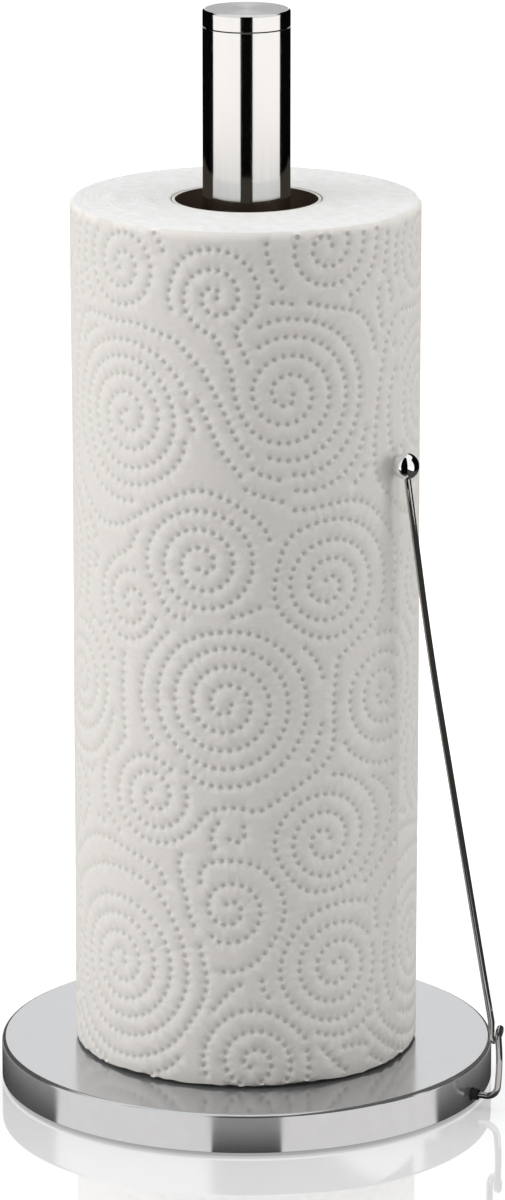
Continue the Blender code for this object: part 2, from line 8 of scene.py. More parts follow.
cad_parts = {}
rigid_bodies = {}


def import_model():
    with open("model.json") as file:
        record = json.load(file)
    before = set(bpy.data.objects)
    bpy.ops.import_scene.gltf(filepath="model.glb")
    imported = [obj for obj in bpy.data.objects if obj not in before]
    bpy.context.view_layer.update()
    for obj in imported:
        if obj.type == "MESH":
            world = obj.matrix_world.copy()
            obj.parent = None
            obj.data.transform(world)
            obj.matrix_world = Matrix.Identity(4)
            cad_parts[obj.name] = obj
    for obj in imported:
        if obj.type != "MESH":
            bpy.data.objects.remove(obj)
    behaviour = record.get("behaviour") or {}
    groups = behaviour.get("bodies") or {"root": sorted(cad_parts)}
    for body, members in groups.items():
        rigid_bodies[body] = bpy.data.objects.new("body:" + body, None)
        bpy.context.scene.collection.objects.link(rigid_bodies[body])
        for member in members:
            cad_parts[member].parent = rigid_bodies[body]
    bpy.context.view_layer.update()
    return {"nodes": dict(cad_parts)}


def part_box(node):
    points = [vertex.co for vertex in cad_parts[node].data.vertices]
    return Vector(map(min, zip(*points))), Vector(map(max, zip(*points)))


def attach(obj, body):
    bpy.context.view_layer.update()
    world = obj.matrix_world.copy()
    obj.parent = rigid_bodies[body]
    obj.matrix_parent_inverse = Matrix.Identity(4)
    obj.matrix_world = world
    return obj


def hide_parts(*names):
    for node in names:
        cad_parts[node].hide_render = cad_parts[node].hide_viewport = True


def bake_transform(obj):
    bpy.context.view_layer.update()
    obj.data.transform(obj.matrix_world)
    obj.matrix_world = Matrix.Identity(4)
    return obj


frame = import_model()


# ---- rubber pad ------------------------------------------------------------------------------
# A disc of black foam rubber glued under the base so that it doesn't slide or scratch. Its edge
# and grain only show when the holder is tipped over.

def finish(name, dark, pale, smoothest, roughest, metallic, grain, relief, stretch=(1, 1, 1)):
    """A speckled surface: two tones, two roughnesses, the width of a speckle and its depth."""
    material = bpy.data.materials.new(name)
    material.use_nodes = True
    nodes = material.node_tree.nodes
    links = material.node_tree.links
    shader = nodes["Principled BSDF"]
    shader.inputs["Metallic"].default_value = metallic
    place = nodes.new("ShaderNodeTexCoord")
    lay = nodes.new("ShaderNodeMapping")
    lay.inputs["Scale"].default_value = stretch
    links.new(place.outputs["Object"], lay.inputs["Vector"])
    speckle = nodes.new("ShaderNodeTexNoise")
    speckle.name = "speckle"
    speckle.inputs["Scale"].default_value = 1 / grain
    speckle.inputs["Detail"].default_value = 5
    links.new(lay.outputs["Vector"], speckle.inputs["Vector"])
    tone = nodes.new("ShaderNodeMix")
    tone.name = "tone"
    tone.data_type = "RGBA"
    tone.inputs["A"].default_value = (*dark, 1)
    tone.inputs["B"].default_value = (*pale, 1)
    links.new(speckle.outputs["Fac"], tone.inputs["Factor"])
    links.new(tone.outputs["Result"], shader.inputs["Base Color"])
    wear = nodes.new("ShaderNodeMapRange")
    wear.name = "wear"
    wear.inputs["From Min"].default_value = 0.3
    wear.inputs["From Max"].default_value = 0.7
    wear.inputs["To Min"].default_value = smoothest
    wear.inputs["To Max"].default_value = roughest
    links.new(speckle.outputs["Fac"], wear.inputs["Value"])
    links.new(wear.outputs["Result"], shader.inputs["Roughness"])
    bump = nodes.new("ShaderNodeBump")
    bump.name = "bump"
    bump.inputs["Distance"].default_value = relief
    links.new(speckle.outputs["Fac"], bump.inputs["Height"])
    links.new(bump.outputs["Normal"], shader.inputs["Normal"])
    return material


def coat(node, material):
    """Gives a frame node its finish, in each of its slots."""
    slots = frame["nodes"][node].data.materials
    for index in range(len(slots)):
        slots[index] = material


foam_rubber = finish(
    "foam_rubber", dark=(0.008, 0.008, 0.008), pale=(0.03, 0.03, 0.03),
    smoothest=0.75, roughest=0.95, metallic=0.0, grain=0.0006, relief=0.00012,
)
coat("non_slip_pad", foam_rubber)


# ---- bottom plate and its screws -------------------------------------------------------------
# A black moulded disc with a spark-eroded texture closes the base. Three zinc-plated flat-head
# screws, let into it, hold it to the weight.

moulded_plastic = finish(
    "moulded_plastic", dark=(0.012, 0.012, 0.013), pale=(0.03, 0.03, 0.032),
    smoothest=0.42, roughest=0.6, metallic=0.0, grain=0.0004, relief=0.00003,
)
zinc_plate = finish(
    "zinc_plate", dark=(0.40, 0.42, 0.45), pale=(0.66, 0.67, 0.68),
    smoothest=0.28, roughest=0.5, metallic=1.0, grain=0.0018, relief=0.000012,
)
coat("under_plate", moulded_plastic)
for number in (1, 2, 3):
    coat(f"plate_screw_{number}", zinc_plate)


# ---- weight ----------------------------------------------------------------------------------
# A cast iron disc fills the cover and keeps the holder upright when a sheet is torn off. It is
# left as cast, so it is dark and sandy.

sand_cast_iron = finish(
    "sand_cast_iron", dark=(0.035, 0.033, 0.032), pale=(0.12, 0.115, 0.11),
    smoothest=0.6, roughest=0.9, metallic=0.8, grain=0.0011, relief=0.00025,
)
coat("base_weight", sand_cast_iron)


# ---- base cover ------------------------------------------------------------------------------
# A pressed stainless steel lid, 150 mm across, turned down over the weight and finely brushed. Its
# top edge is softly rounded, and the arm's wire comes out of a hole in its side.

ARM_AZIMUTH = math.radians(-24.9)
TAIL_HEIGHT = 0.0044            # the wire's height in the side hole
COVER_RADIUS = 0.075
COVER_TOP = 0.013
COVER_FOOT = 0.001
COVER_WALL = 0.001
COVER_EDGE = 0.0012             # rounding of the top edge
COVER_FOOT_EDGE = 0.00022       # and of the lower one
BOLT_HOLE_RADIUS = 0.0033
SIDE_HOLE_RADIUS = 0.002
SIDE_HOLE_DEPTH = 0.006


def pick(piece):
    """Makes this piece the active one, with no other selected."""
    for thing in bpy.context.view_layer.objects:
        thing.select_set(False)
    piece.select_set(True)
    bpy.context.view_layer.objects.active = piece


def edit(piece):
    """Opens one piece for editing, with nothing in it selected."""
    pick(piece)
    bpy.ops.object.mode_set(mode="EDIT")
    bpy.ops.mesh.select_all(action="DESELECT")


def choose(kind, test):
    """Selects the open piece's vertices, edges or faces whose middle passes the test."""
    bpy.ops.mesh.select_mode(type=kind)
    shape = bmesh.from_edit_mesh(bpy.context.object.data)
    parts = {"VERT": shape.verts, "EDGE": shape.edges, "FACE": shape.faces}[kind]
    for part in parts:
        if kind == "VERT":
            middle = part.co
        else:
            middle = sum((v.co for v in part.verts), Vector()) / len(part.verts)
        part.select_set(test(middle, part))
    bmesh.update_edit_mesh(bpy.context.object.data)


def close():
    """Ends the editing."""
    bpy.ops.object.mode_set(mode="OBJECT")


def settle(piece, name, material, angle=35):
    """Names a finished piece, puts its place in its mesh and smooths all but its sharp edges."""
    pick(piece)
    bpy.ops.object.transform_apply(location=True, rotation=True, scale=True)
    bpy.ops.object.shade_smooth_by_angle(angle=math.radians(angle))
    piece.name = name
    piece.data.name = name
    piece.data.materials.append(material)


def apply(piece, kind, **settings):
    """Adds a modifier with these settings and applies it."""
    pick(piece)
    modifier = piece.modifiers.new(kind.lower(), kind)
    for key, value in settings.items():
        setattr(modifier, key, value)
    bpy.ops.object.modifier_apply(modifier=modifier.name)


def at_height(middle, height):
    """True if this is on the level at the given height."""
    return abs(middle.z - height) < 1e-5


bpy.ops.mesh.primitive_cylinder_add(
    vertices=192, radius=COVER_RADIUS, depth=COVER_TOP - COVER_FOOT,
    location=(0, 0, (COVER_TOP + COVER_FOOT) / 2),
)
base_cover = bpy.context.object
bpy.ops.object.transform_apply()
edit(base_cover)
choose("FACE", lambda middle, face: at_height(middle, COVER_FOOT))
bpy.ops.mesh.delete(type="FACE")
choose("FACE", lambda middle, face: at_height(middle, COVER_TOP))
bpy.ops.mesh.inset(thickness=COVER_RADIUS - BOLT_HOLE_RADIUS)
bpy.ops.mesh.delete(type="FACE")
choose("EDGE", lambda middle, edge: at_height(middle, COVER_TOP)
       and middle.xy.length > COVER_RADIUS * 0.99)
bpy.ops.mesh.bevel(offset=COVER_EDGE, segments=8, profile=0.5)
close()
apply(base_cover, "SOLIDIFY", thickness=COVER_WALL, offset=-1.0, use_even_offset=True)
edit(base_cover)
choose("EDGE", lambda middle, edge: at_height(middle, COVER_FOOT)
       and middle.xy.length > COVER_RADIUS * 0.995)
bpy.ops.mesh.bevel(offset=COVER_FOOT_EDGE, segments=3, profile=0.5)
close()
bpy.ops.mesh.primitive_cylinder_add(
    vertices=48, radius=SIDE_HOLE_RADIUS, depth=SIDE_HOLE_DEPTH,
    location=(
        COVER_RADIUS * math.cos(ARM_AZIMUTH), COVER_RADIUS * math.sin(ARM_AZIMUTH), TAIL_HEIGHT,
    ),
    rotation=(0, math.pi / 2, ARM_AZIMUTH),
)
drill = bpy.context.object
apply(base_cover, "BOOLEAN", operation="DIFFERENCE", solver="EXACT", object=drill)
bpy.data.objects.remove(drill)

brushed_steel = finish(
    "brushed_steel", dark=(0.575, 0.58, 0.595), pale=(0.635, 0.64, 0.65),
    smoothest=0.14, roughest=0.18, metallic=0.86, grain=0.005, relief=0.0000002,
)
settle(base_cover, "cover_lid", brushed_steel)
apply(base_cover, "WEIGHTED_NORMAL", keep_sharp=True, weight=80)
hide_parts("base_cover")
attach(base_cover, "base")


# ---- wire bush -------------------------------------------------------------------------------
# A soft black rubber bush pushed into the side hole from inside, so that the wire neither rubs
# nor rattles. Its collar is behind the cover's wall and its rounded nose stands out of it.

BUSH_BORE = 0.0013
BUSH_NECK = 0.0017
BUSH_COLLAR = 0.0025
BUSH_COLLAR_LENGTH = 0.0012
BUSH_EDGE = 0.00015
BUSH_NOSE = 0.0022              # how far it stands out of the cover
BUSH_LENGTH = 0.0024 + BUSH_NOSE

bpy.ops.mesh.primitive_cylinder_add(
    vertices=48, radius=BUSH_NECK, depth=BUSH_LENGTH, end_fill_type="NGON", location=(0, 0, 0),
)
bush = bpy.context.object
edit(bush)
choose("FACE", lambda middle, face: abs(face.normal.z) > 0.9)
bpy.ops.mesh.inset(thickness=BUSH_NECK - BUSH_BORE)
choose("FACE", lambda middle, face: abs(face.normal.z) > 0.9 and middle.xy.length < 1e-6)
bpy.ops.mesh.bridge_edge_loops()
bpy.ops.mesh.select_all(action="SELECT")
bpy.ops.mesh.bisect(plane_co=(0, 0, -BUSH_LENGTH / 2 + BUSH_COLLAR_LENGTH), plane_no=(0, 0, 1))
choose("FACE", lambda middle, face: middle.z < 0 and middle.xy.length > BUSH_NECK * 0.98
       and abs(face.normal.z) < 0.1)
bpy.ops.mesh.extrude_region_shrink_fatten(
    TRANSFORM_OT_shrink_fatten={"value": BUSH_COLLAR - BUSH_NECK},
)
choose("EDGE", lambda middle, edge: middle.z > BUSH_LENGTH / 2 - 1e-6)
bpy.ops.mesh.bevel(offset=BUSH_EDGE, segments=3, profile=0.5)
bpy.ops.mesh.select_all(action="SELECT")
bpy.ops.mesh.normals_make_consistent(inside=False)
close()
bush.rotation_euler = (0, math.pi / 2, ARM_AZIMUTH)
bush_reach = COVER_RADIUS + BUSH_NOSE - BUSH_LENGTH / 2
bush.location = (
    bush_reach * math.cos(ARM_AZIMUTH), bush_reach * math.sin(ARM_AZIMUTH), TAIL_HEIGHT,
)
soft_rubber = finish(
    "soft_rubber", dark=(0.006, 0.006, 0.006), pale=(0.02, 0.02, 0.02),
    smoothest=0.6, roughest=0.85, metallic=0.0, grain=0.0005, relief=0.00002,
)
settle(bush, "wire_bush", soft_rubber)
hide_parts("arm_grommet")
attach(bush, "base")


# ---- pole fixings ----------------------------------------------------------------------------
# A cap-head bolt with a spring washer and a plain washer comes up through the weight into a
# threaded plug in the pole's foot. All are zinc plated, and a plastic insert closes the top.

for hidden in ("pole_bolt", "pole_washer", "pole_spring_washer", "pole_foot_plug"):
    coat(hidden, zinc_plate)
coat("cap_insert", moulded_plastic)


# ---- pole ------------------------------------------------------------------------------------
# A stainless tube, 26 mm across with a 1 mm wall, mirror polished along its length. The polish
# leaves faint lengthwise lines and a few soft smears.

POLE_RADIUS = 0.013
POLE_WALL = 0.001
SEAM_EDGE = 0.0001              # broken edges that show the cap's seam
pole_low, pole_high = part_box("pole_tube")

bpy.ops.mesh.primitive_cylinder_add(
    vertices=128, radius=POLE_RADIUS, depth=pole_high.z - pole_low.z, end_fill_type="NOTHING",
    location=(0, 0, (pole_high.z + pole_low.z) / 2),
)
pole = bpy.context.object
bpy.ops.object.transform_apply()
apply(pole, "SOLIDIFY", thickness=POLE_WALL, offset=-1.0)
edit(pole)
choose("EDGE", lambda middle, edge: middle.xy.length > POLE_RADIUS * 0.99
       and (at_height(middle, pole_low.z) or at_height(middle, pole_high.z)))
bpy.ops.mesh.bevel(offset=SEAM_EDGE, segments=3, profile=0.5)
close()
mirror_steel = finish(
    "mirror_steel", dark=(0.66, 0.66, 0.65), pale=(0.71, 0.71, 0.70),
    smoothest=0.07, roughest=0.11, metallic=1.0, grain=0.0015, relief=0.0000003,
    stretch=(1, 1, 0.03),
)
settle(pole, "pole", mirror_steel)
apply(pole, "WEIGHTED_NORMAL", keep_sharp=True, weight=80)
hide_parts("pole_tube")
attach(pole, "base")


# ---- pole cap --------------------------------------------------------------------------------
# A turned steel button with a stud that presses into the insert. Its side is polished like the
# tube, its top has fine turning lines, and its edges are chamfered round.

CAP_EDGE = 0.0008
CAP_STUD = 0.003
CAP_HEIGHT = 0.005
TURNING_STEPS = (0.0003, 0.004, 0.004, 0.003)  # rings on the top, from its edge inwards
cap_low, cap_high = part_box("pole_cap")
CAP_FOOT = cap_high.z - CAP_HEIGHT

bpy.ops.mesh.primitive_cylinder_add(
    vertices=128, radius=POLE_RADIUS, depth=cap_high.z - CAP_FOOT,
    location=(0, 0, (cap_high.z + CAP_FOOT) / 2),
)
cap = bpy.context.object
bpy.ops.object.transform_apply()
edit(cap)
choose("FACE", lambda middle, face: at_height(middle, CAP_FOOT))
bpy.ops.mesh.inset(thickness=POLE_RADIUS - CAP_STUD)
bpy.ops.mesh.extrude_region_move(
    TRANSFORM_OT_translate={"value": (0, 0, cap_low.z - CAP_FOOT)},
)
choose("EDGE", lambda middle, edge: at_height(middle, cap_high.z)
       and middle.xy.length > POLE_RADIUS * 0.98)
bpy.ops.mesh.bevel(offset=CAP_EDGE, segments=6, profile=0.5)
choose("EDGE", lambda middle, edge: (at_height(middle, CAP_FOOT)
       and middle.xy.length > POLE_RADIUS * 0.98)
       or (at_height(middle, cap_low.z) and middle.xy.length > CAP_STUD * 0.9))
bpy.ops.mesh.bevel(offset=SEAM_EDGE, segments=3, profile=0.5)
choose("FACE", lambda middle, face: at_height(middle, cap_high.z))
for width in TURNING_STEPS:
    bpy.ops.mesh.inset(thickness=width)
close()
settle(cap, "pole_button", mirror_steel)
# the top's steel is coloured about half as bright as the side's: a painted shade that darkens its
# reflection
turned_steel_painted_shade = finish(
    "turned_steel_painted_shade", dark=(0.29, 0.295, 0.30), pale=(0.34, 0.345, 0.35),
    smoothest=0.2, roughest=0.28, metallic=1.0, grain=0.0006, relief=0.0,
)
shader = turned_steel_painted_shade.node_tree.nodes["Principled BSDF"]
shader.inputs["Anisotropic"].default_value = 0.8
lathe = turned_steel_painted_shade.node_tree.nodes.new("ShaderNodeTangent")
lathe.direction_type = "RADIAL"
lathe.axis = "Z"
turned_steel_painted_shade.node_tree.links.new(lathe.outputs["Tangent"], shader.inputs["Tangent"])
cap.data.materials.append(turned_steel_painted_shade)
for face in cap.data.polygons:
    if face.normal.z > 0.999 and face.center.z > cap_high.z - 1e-5:
        face.material_index = 1
apply(cap, "WEIGHTED_NORMAL", keep_sharp=True, weight=80)
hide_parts("pole_cap")
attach(cap, "base")


# ---- wire anchor -----------------------------------------------------------------------------
# Inside the base the wire's tail is held by a small zinc-plated block with two screws, and its
# hooked end stops it from turning.

for hidden in ("arm_anchor_block", "anchor_screw_1", "anchor_screw_2"):
    coat(hidden, zinc_plate)


# ---- arm wire --------------------------------------------------------------------------------
# One length of 2 mm spring wire, polished. It leaves the base, curls up, makes one turn of coil
# that gives the spring, and leans in to the roll. It bends a little below the ball.

WIRE_RADIUS = 0.001
HOOK_END = (0.0540, 0.0048)     # the tail's tip: distance from the pole, and to the side
HOOK_REACH = 0.0560             # distance from the pole to the hook's straight
RISE_START = 0.0663             # where the tail leaves the block and drops to the side hole
RISE_RUN = 0.0062
LEG = 0.08345                   # distance from the pole to the leg
LEG_BOW = 0.0004
ARM_FOOT_REACH = 0.08115        # and to the arm above the coil
COIL_HEIGHT = 0.0236
COIL_RADIUS = 0.002
CURL_RADIUS = 0.0038
BLOCK_HEIGHT = 0.0061           # the wire's height in the anchor block
STUB_TOP = 0.028
HOOK_BEND = 0.002
KNEE_DROP = 0.0555              # the bend's height below the ball
KNEE_OFFSET = 0.0013
KNEE_HALF = 0.02                # half of the bend's length
COIL_EASE = 0.3                 # share of the way to the arm taken at each step off the coil
BORE_GAP = 0.0003               # between the wire's tip and the ball's centre
BALL_RADIUS = 0.004
roll_low, roll_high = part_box("paper_roll")
roll_radius = (roll_high.x - roll_low.x) / 2
ball_low, ball_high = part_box("arm_ball")
ball_centre = (ball_low + ball_high) / 2


def at_arm(reach, sideways, height):
    """A point by its distance from the pole towards the arm's foot, its offset and its height."""
    return Matrix.Rotation(ARM_AZIMUTH, 3, "Z") @ Vector((reach, sideways, height))


route = [at_arm(*HOOK_END, BLOCK_HEIGHT)]
for step in range(9):
    angle = math.pi / 2 * (1 - step / 8)
    route.append(at_arm(
        HOOK_REACH - HOOK_BEND * math.sin(angle), HOOK_BEND * (1 - math.cos(angle)), BLOCK_HEIGHT,
    ))
for step in range(13):
    ease = (1 - math.cos(math.pi * step / 12)) / 2
    route.append(at_arm(
        RISE_START + RISE_RUN * step / 12, 0, BLOCK_HEIGHT + (TAIL_HEIGHT - BLOCK_HEIGHT) * ease,
    ))
for step in range(15):
    angle = math.pi / 2 * step / 14
    route.append(at_arm(
        LEG - CURL_RADIUS * (1 - math.sin(angle)), 0,
        TAIL_HEIGHT + CURL_RADIUS * (1 - math.cos(angle)),
    ))
leg_foot = TAIL_HEIGHT + CURL_RADIUS
for step in range(1, 13):
    bow = LEG_BOW * math.sin(math.pi * step / 12)
    route.append(at_arm(LEG + bow, 0, leg_foot + (COIL_HEIGHT - leg_foot) * step / 12))
for step in range(1, 41):
    angle = math.tau * step / 40
    inward = (LEG - ARM_FOOT_REACH) * (1 - math.cos(angle / 2)) / 2
    route.append(at_arm(
        LEG - inward, COIL_RADIUS * (1 - math.cos(angle)),
        COIL_HEIGHT + COIL_RADIUS * math.sin(angle),
    ))
arm_start = at_arm(ARM_FOOT_REACH, 0, STUB_TOP)
straight = ball_centre.lerp(arm_start, KNEE_DROP / (ball_centre.z - arm_start.z))
lean_in = (ball_centre - arm_start).xy.to_3d().normalized()
knee = straight + lean_in * KNEE_OFFSET
for step in range(1, 5):
    route.append(route[-1].lerp(arm_start, COIL_EASE))
route.append(arm_start)
bend_start = knee + (arm_start - knee).normalized() * KNEE_HALF
bend_end = knee + (ball_centre - knee).normalized() * KNEE_HALF
for step in range(1, 41):
    route.append(arm_start.lerp(bend_start, step / 40))
for step in range(1, 21):
    along = step / 20
    route.append(bend_start.lerp(knee, along).lerp(knee.lerp(bend_end, along), along))
wire_end = ball_centre - (ball_centre - knee).normalized() * BORE_GAP
for step in range(1, 9):
    route.append(bend_end.lerp(wire_end, step / 8))

bpy.ops.curve.primitive_bezier_curve_add()
wire = bpy.context.object
wire.data.splines.clear()
wire.data.bevel_depth = WIRE_RADIUS
wire.data.bevel_resolution = 4
wire.data.use_fill_caps = True
run = wire.data.splines.new("POLY")
run.points.add(len(route) - 1)
for point, place in zip(run.points, route):
    point.co = (*place, 1)
run.use_smooth = True
pick(wire)
bpy.ops.object.convert(target="MESH")
wire = bpy.context.object
# the wire's steel is coloured darker than the tube's: a painted shade that darkens all its
# reflections
wire_steel_painted_shade = finish(
    "wire_steel_painted_shade", dark=(0.40, 0.40, 0.40), pale=(0.48, 0.48, 0.48),
    smoothest=0.06, roughest=0.13, metallic=1.0, grain=0.0012, relief=0.000001,
)
wire.data.materials.clear()
settle(wire, "arm_wire", wire_steel_painted_shade, angle=50)
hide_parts("arm_foot", "arm_rod")
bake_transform(wire)


# ---- arm ball --------------------------------------------------------------------------------
# An 8 mm steel ball, drilled and pressed on the wire's end. The hole's mouth is countersunk. The
# ball rolls the paper flat as it turns and is polished so that it doesn't snag.

BALL_BORE = 0.0011              # radius of the hole's mouth
MOUTH_DEPTH = 0.0002            # the countersink, and how much narrower the bore is below it
MOUTH_TAPER = 0.88
BORE_DEPTH = 0.0040
into_ball = (ball_centre - knee).normalized()
bpy.ops.mesh.primitive_uv_sphere_add(segments=48, ring_count=32, radius=BALL_RADIUS)
ball = bpy.context.object
edit(ball)
choose("FACE", lambda middle, face: middle.z < 0 and middle.xy.length < BALL_BORE)
bpy.ops.mesh.delete(type="FACE")
choose("EDGE", lambda middle, edge: edge.is_boundary)
bpy.ops.mesh.extrude_region_move(TRANSFORM_OT_translate={"value": (0, 0, MOUTH_DEPTH)})
bpy.ops.transform.resize(value=(MOUTH_TAPER, MOUTH_TAPER, 1), center_override=(0, 0, 0))
bpy.ops.mesh.extrude_region_move(TRANSFORM_OT_translate={"value": (0, 0, BORE_DEPTH)})
bpy.ops.mesh.edge_face_add()
bpy.ops.mesh.select_all(action="SELECT")
bpy.ops.mesh.normals_make_consistent(inside=False)
close()
ball.rotation_mode = "QUATERNION"
ball.rotation_quaternion = into_ball.to_track_quat("Z", "Y")
ball.location = ball_centre
ball_steel = finish(
    "ball_steel", dark=(0.86, 0.865, 0.87), pale=(0.92, 0.922, 0.925),
    smoothest=0.02, roughest=0.05, metallic=1.0, grain=0.002, relief=0.0000003,
)
settle(ball, "arm_ball_polished", ball_steel)
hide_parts("arm_ball")
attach(ball, "arm")


# ---- cardboard core --------------------------------------------------------------------------
# A grey-brown cardboard tube wound from strips on a slant, 42.5 mm inside. Its cut ends are
# a little furry.

CORE_WALL = 0.001
CORE_EDGE = 0.0002
core_low, core_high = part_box("cardboard_core")
core_radius = (core_high.x - core_low.x) / 2

bpy.ops.mesh.primitive_cylinder_add(
    vertices=96, radius=core_radius, depth=core_high.z - core_low.z, end_fill_type="NOTHING",
    location=(0, 0, (core_high.z + core_low.z) / 2),
)
core = bpy.context.object
bpy.ops.object.transform_apply()
apply(core, "SOLIDIFY", thickness=CORE_WALL, offset=-1.0)
edit(core)
choose("EDGE", lambda middle, edge: at_height(middle, core_high.z)
       and abs(edge.verts[0].co.xy.length - edge.verts[1].co.xy.length) < 1e-5)
bpy.ops.mesh.bevel(offset=CORE_EDGE, segments=2, profile=0.5)
close()
# the card is coloured far darker than real cardboard: a painted shade for the inside of the bore
card = finish(
    "core_card_painted_shade", dark=(0.055, 0.036, 0.026), pale=(0.11, 0.075, 0.054),
    smoothest=0.85, roughest=1.0, metallic=0.0, grain=0.0009, relief=0.00008,
)
settle(core, "card_core", card)
card_edge = finish(
    "card_edge", dark=(0.72, 0.69, 0.63), pale=(0.90, 0.88, 0.83),
    smoothest=0.9, roughest=1.0, metallic=0.0, grain=0.0008, relief=0.00008,
)
core.data.materials.append(card_edge)
for face in core.data.polygons:
    if face.normal.z > 0.3:
        face.material_index = 1
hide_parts("cardboard_core")
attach(core, "core")


# ---- paper roll ------------------------------------------------------------------------------
# Soft two-ply kitchen paper wound on the core. The plies are pressed together by rows of small
# dimples that run in scrolls, repeated three times round. The last sheet's free edge hangs by
# the ball. All sizes in this section's pattern are in millimetres.

ROLL_R = roll_radius * 1000
ROLL_L = (roll_high.z - roll_low.z) * 1000
CORE_GAP = 0.3
ROLL_BORE = core_radius * 1000 + CORE_GAP
AROUND = math.tau * ROLL_R
REPEAT = AROUND / 3
ROW_PITCH = 5.6                 # between rows of dimples
DOT_PITCH = 2.6                 # between dimples in a row
DOT_REACH = 1.1                 # radius of a dimple
DOT_DEPTH = 0.88
ROOM_AHEAD = 0.74               # a row stops when another is nearer than this many pitches
ROOM_BESIDE = 0.9               # and a new one needs this many
OWN_TURN = 2.2                  # a row takes no notice of its own last few pitches
LONGEST_ROW = 900               # steps
FREE_EDGE = ROLL_R * math.radians(59)
SHEET_STEP = 0.7                # thickness of the last sheet at its free edge
EDGE_MARGIN = 1.5
TRACE_STEP = 0.7
LIFT = 0.75                     # how far the free edge stands off, between these two heights
LIFT_FOOT = 40
LIFT_HEAD = 185
LIFT_REACH = 5
BRIM = 1.2                      # height over which the ends are rounded
HEAD_ROUNDING = 0.9
FOOT_ROUNDING = 0.45
# each scroll: across and up from the roll's foot, how far it holds sway, and its turning hand
SCROLLS = (
    (-9, 241, 12, 1), (12, 212, 22, -1), (-38, 203, 21, 1), (-13, 161, 18, 1), (25, 154, 15, -1),
    (-37, 147, 11, -1), (24, 255, 14, 1), (-40, 248, 13, -1), (-6, 119, 25, -1), (-29, 89, 13, 1),
    (-4, 79, 7, 1), (24, 76, 14, 1), (-5, 56, 16, -1), (-42, 35, 25, 1), (2, 8, 15, -1),
    (28, 36, 18, -1), (46, 118, 14, 1),
)
# where rows sweep across from one scroll to another: across, up, how far, and the slope in degrees
SWEEPS = (
    (-26, 229, 7, -15), (-18, 222, 9, -45), (-12, 213, 10, -62), (-7, 203, 10, -66),
    (-2, 193, 8, -52), (-3, 224, 8, -66), (8, 186, 7, -18), (-17, 62, 7, -75), (-14, 45, 7, -80),
)


def round_repeat(across):
    """The same place in the pattern's nearest repeat."""
    return (across + REPEAT / 2) % REPEAT - REPEAT / 2


def row_heading(across, up):
    """Which way a row of dimples runs here: round the nearest scroll, winding slowly outwards."""
    cosine = sine = 0.0
    for middle, height, reach, hand in SCROLLS:
        aside = round_repeat(across - middle)
        above = up - height
        distance = math.hypot(aside, above) + 1e-6
        sway = (reach / distance) ** 5
        slant = math.atan(ROW_PITCH / (math.tau * distance))
        heading = math.atan2(above, aside) + math.pi / 2 - hand * slant
        cosine += sway * math.cos(2 * heading)
        sine += sway * math.sin(2 * heading)
    for middle, height, reach, slope in SWEEPS:
        distance = math.hypot(round_repeat(across - middle), up - height) + 1e-6
        sway = (reach / distance) ** 5
        cosine += sway * math.cos(2 * math.radians(slope))
        sine += sway * math.sin(2 * math.radians(slope))
    return math.atan2(sine, cosine) / 2


taken = {}
COLUMNS = int(REPEAT // ROW_PITCH) + 1


def crowded(across, up, room, row=None, order=0):
    """True if another row, or an older turn of the same row, is nearer than this."""
    column = int((across % REPEAT) // ROW_PITCH)
    level = int(up // ROW_PITCH)
    for side in (-2, -1, 0, 1, 2):
        for rise in (-1, 0, 1):
            for a, b, other, place in taken.get(((column + side) % COLUMNS, level + rise), ()):
                if other == row and abs(order - place) < OWN_TURN * ROW_PITCH / TRACE_STEP:
                    continue
                if math.hypot(round_repeat(across - a), up - b) < room:
                    return True
    return False


def take(across, up, row, order):
    """Notes a point of a row, so that others keep clear of it."""
    cell = (int((across % REPEAT) // ROW_PITCH), int(up // ROW_PITCH))
    taken.setdefault(cell, []).append((across, up, row, order))


def follow(across, up, heading, row, way):
    """Runs a row on from a point until it meets another or leaves the paper."""
    points = []
    order = 0
    while len(points) < LONGEST_ROW:
        turn = row_heading(across, up)
        if math.cos(turn - heading) < 0:
            turn += math.pi
        half = row_heading(
            across + math.cos(turn) * TRACE_STEP / 2, up + math.sin(turn) * TRACE_STEP / 2,
        )
        if math.cos(half - turn) < 0:
            half += math.pi
        across += math.cos(half) * TRACE_STEP
        up += math.sin(half) * TRACE_STEP
        heading = half
        order += way
        outside = not EDGE_MARGIN < up < ROLL_L - EDGE_MARGIN
        if outside or crowded(across, up, ROOM_AHEAD * ROW_PITCH, row, order):
            break
        points.append((across, up))
        take(across, up, row, order)
    return points


rows = []
for middle, height, reach, hand in sorted(SCROLLS, key=lambda scroll: -scroll[2]):
    start = 2.1 * middle
    across = middle + 0.3 * ROW_PITCH * math.cos(start)
    up = height + 0.3 * ROW_PITCH * math.sin(start)
    take(across, up, len(rows), 0)
    rows.append([(across, up)] + follow(across, up, start + hand * math.pi / 2, len(rows), 1))
for row in rows:                # rows found on the way are added at the end and get their turn
    for index in range(1, len(row) - 1, 2):
        before, after = row[index - 1], row[index + 1]
        heading = math.atan2(after[1] - before[1], after[0] - before[0])
        for side in (-ROW_PITCH, ROW_PITCH):
            across = row[index][0] - side * math.sin(heading)
            up = row[index][1] + side * math.cos(heading)
            outside = not EDGE_MARGIN < up < ROLL_L - EDGE_MARGIN
            if outside or crowded(across, up, ROOM_BESIDE * ROW_PITCH):
                continue
            number = len(rows)
            take(across, up, number, 0)
            onward = follow(across, up, heading, number, 1)
            backward = follow(across, up, heading + math.pi, number, -1)
            rows.append(backward[::-1] + [(across, up)] + onward)

